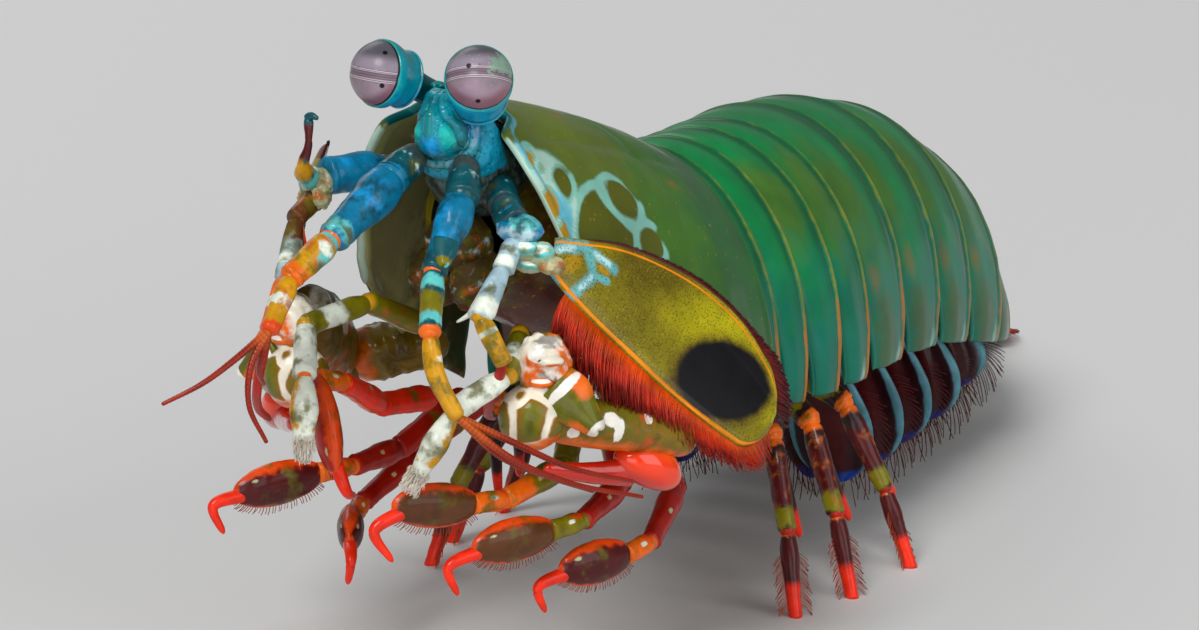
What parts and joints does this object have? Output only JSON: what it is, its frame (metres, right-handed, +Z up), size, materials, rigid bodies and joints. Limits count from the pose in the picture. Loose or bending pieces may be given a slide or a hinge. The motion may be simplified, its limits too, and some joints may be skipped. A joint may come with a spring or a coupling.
{
  "type": "mantis shrimp",
  "caption": "Life-size still model of a peacock mantis shrimp standing on its walking legs and tail fan, eyes raised and claws folded.",
  "frame": {"origin": "on the floor, under the middle of the animal's outline", "axes": "+Z up, the animal faces -Y, its left side is +X and its tail points to +Y and a little to its right"},
  "size_m": [0.072, 0.1858, 0.06],
  "materials": {
    "carapace": "glossy olive green with cyan-white network and dark spots",
    "tergites": "glossy emerald to olive bands with teal lower ends",
    "belly": "soft dull membrane",
    "face": "glossy teal shield with mottled rim",
    "eye_cup": "glossy teal to azure",
    "cornea": "smooth glossy grey-mauve with a banded middle",
    "feeler_stem": "glossy blue with dark and pale patches",
    "flagella": "dark red rings",
    "antennal_scale": "speckled olive yellow with a near-black oval",
    "mouth": "dull orange brown",
    "claw": "glossy olive and orange with a white network",
    "club": "polished orange red",
    "cleaner": "glossy olive yellow with white patches",
    "grasper": "glossy dark red with orange edges",
    "walking_leg": "glossy dark red",
    "tail_fan": "glossy green with red and yellow edges"
  },
  "bodies": {
    "root": {"abdomen_1": "tergites", "abdomen_2": "tergites", "abdomen_3": "tergites", "abdomen_4": "tergites", "abdomen_5": "tergites", "abdomen_6": "tergites", "antenna_l": "feeler_stem", "antenna_r": "feeler_stem", "antennal_scale_l": "antennal_scale", "antennal_scale_r": "antennal_scale", "antennule_flagella_l": "flagella", "antennule_flagella_r": "flagella", "antennule_l": "feeler_stem", "antennule_r": "feeler_stem", "carapace": "carapace", "cornea_l": "cornea", "cornea_r": "cornea", "eyestalk_l": "eye_cup", "eyestalk_r": "eye_cup", "head": "face", "maxilliped_1_l": "cleaner", "maxilliped_1_r": "cleaner", "maxilliped_3_l": "grasper", "maxilliped_3_r": "grasper", "maxilliped_4_l": "grasper", "maxilliped_4_r": "grasper", "maxilliped_5_l": "grasper", "maxilliped_5_r": "grasper", "mouthparts": "mouth", "raptorial_carpus_l": "claw", "raptorial_carpus_r": "claw", "raptorial_dactyl_l": "club", "raptorial_dactyl_r": "club", "raptorial_merus_l": "claw", "raptorial_merus_r": "claw", "raptorial_propodus_l": "claw", "raptorial_propodus_r": "claw", "rostral_plate": "carapace", "telson": "tail_fan", "thorax_5": "tergites", "thorax_6": "tergites", "thorax_7": "tergites", "thorax_8": "tergites", "thorax_core": "belly", "uropod_l": "tail_fan", "uropod_r": "tail_fan", "walking_leg_1_l": "walking_leg", "walking_leg_1_r": "walking_leg", "walking_leg_2_l": "walking_leg", "walking_leg_2_r": "walking_leg", "walking_leg_3_l": "walking_leg", "walking_leg_3_r": "walking_leg"}
  },
  "joints": []
}
